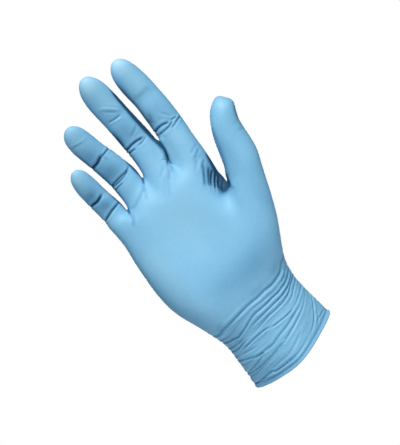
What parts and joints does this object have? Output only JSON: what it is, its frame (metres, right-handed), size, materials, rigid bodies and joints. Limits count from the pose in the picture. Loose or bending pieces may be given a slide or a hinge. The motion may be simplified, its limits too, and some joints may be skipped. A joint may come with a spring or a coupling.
{
  "type": "nitrile exam glove",
  "caption": "Thin blue nitrile exam glove in its worn form, right hand, palm to the front, open at a rolled cuff.",
  "frame": {"origin": "centre of the opening at the rolled rim, where the wrist goes in", "axes": "+Z from the cuff to the fingertips, -Y out of the palm, +X towards the thumb"},
  "size_m": [0.1217, 0.0709, 0.2392],
  "materials": {
    "nitrile": "satin, finely textured sky-blue nitrile film"
  },
  "bodies": {
    "root": {"glove": "nitrile"}
  },
  "joints": []
}
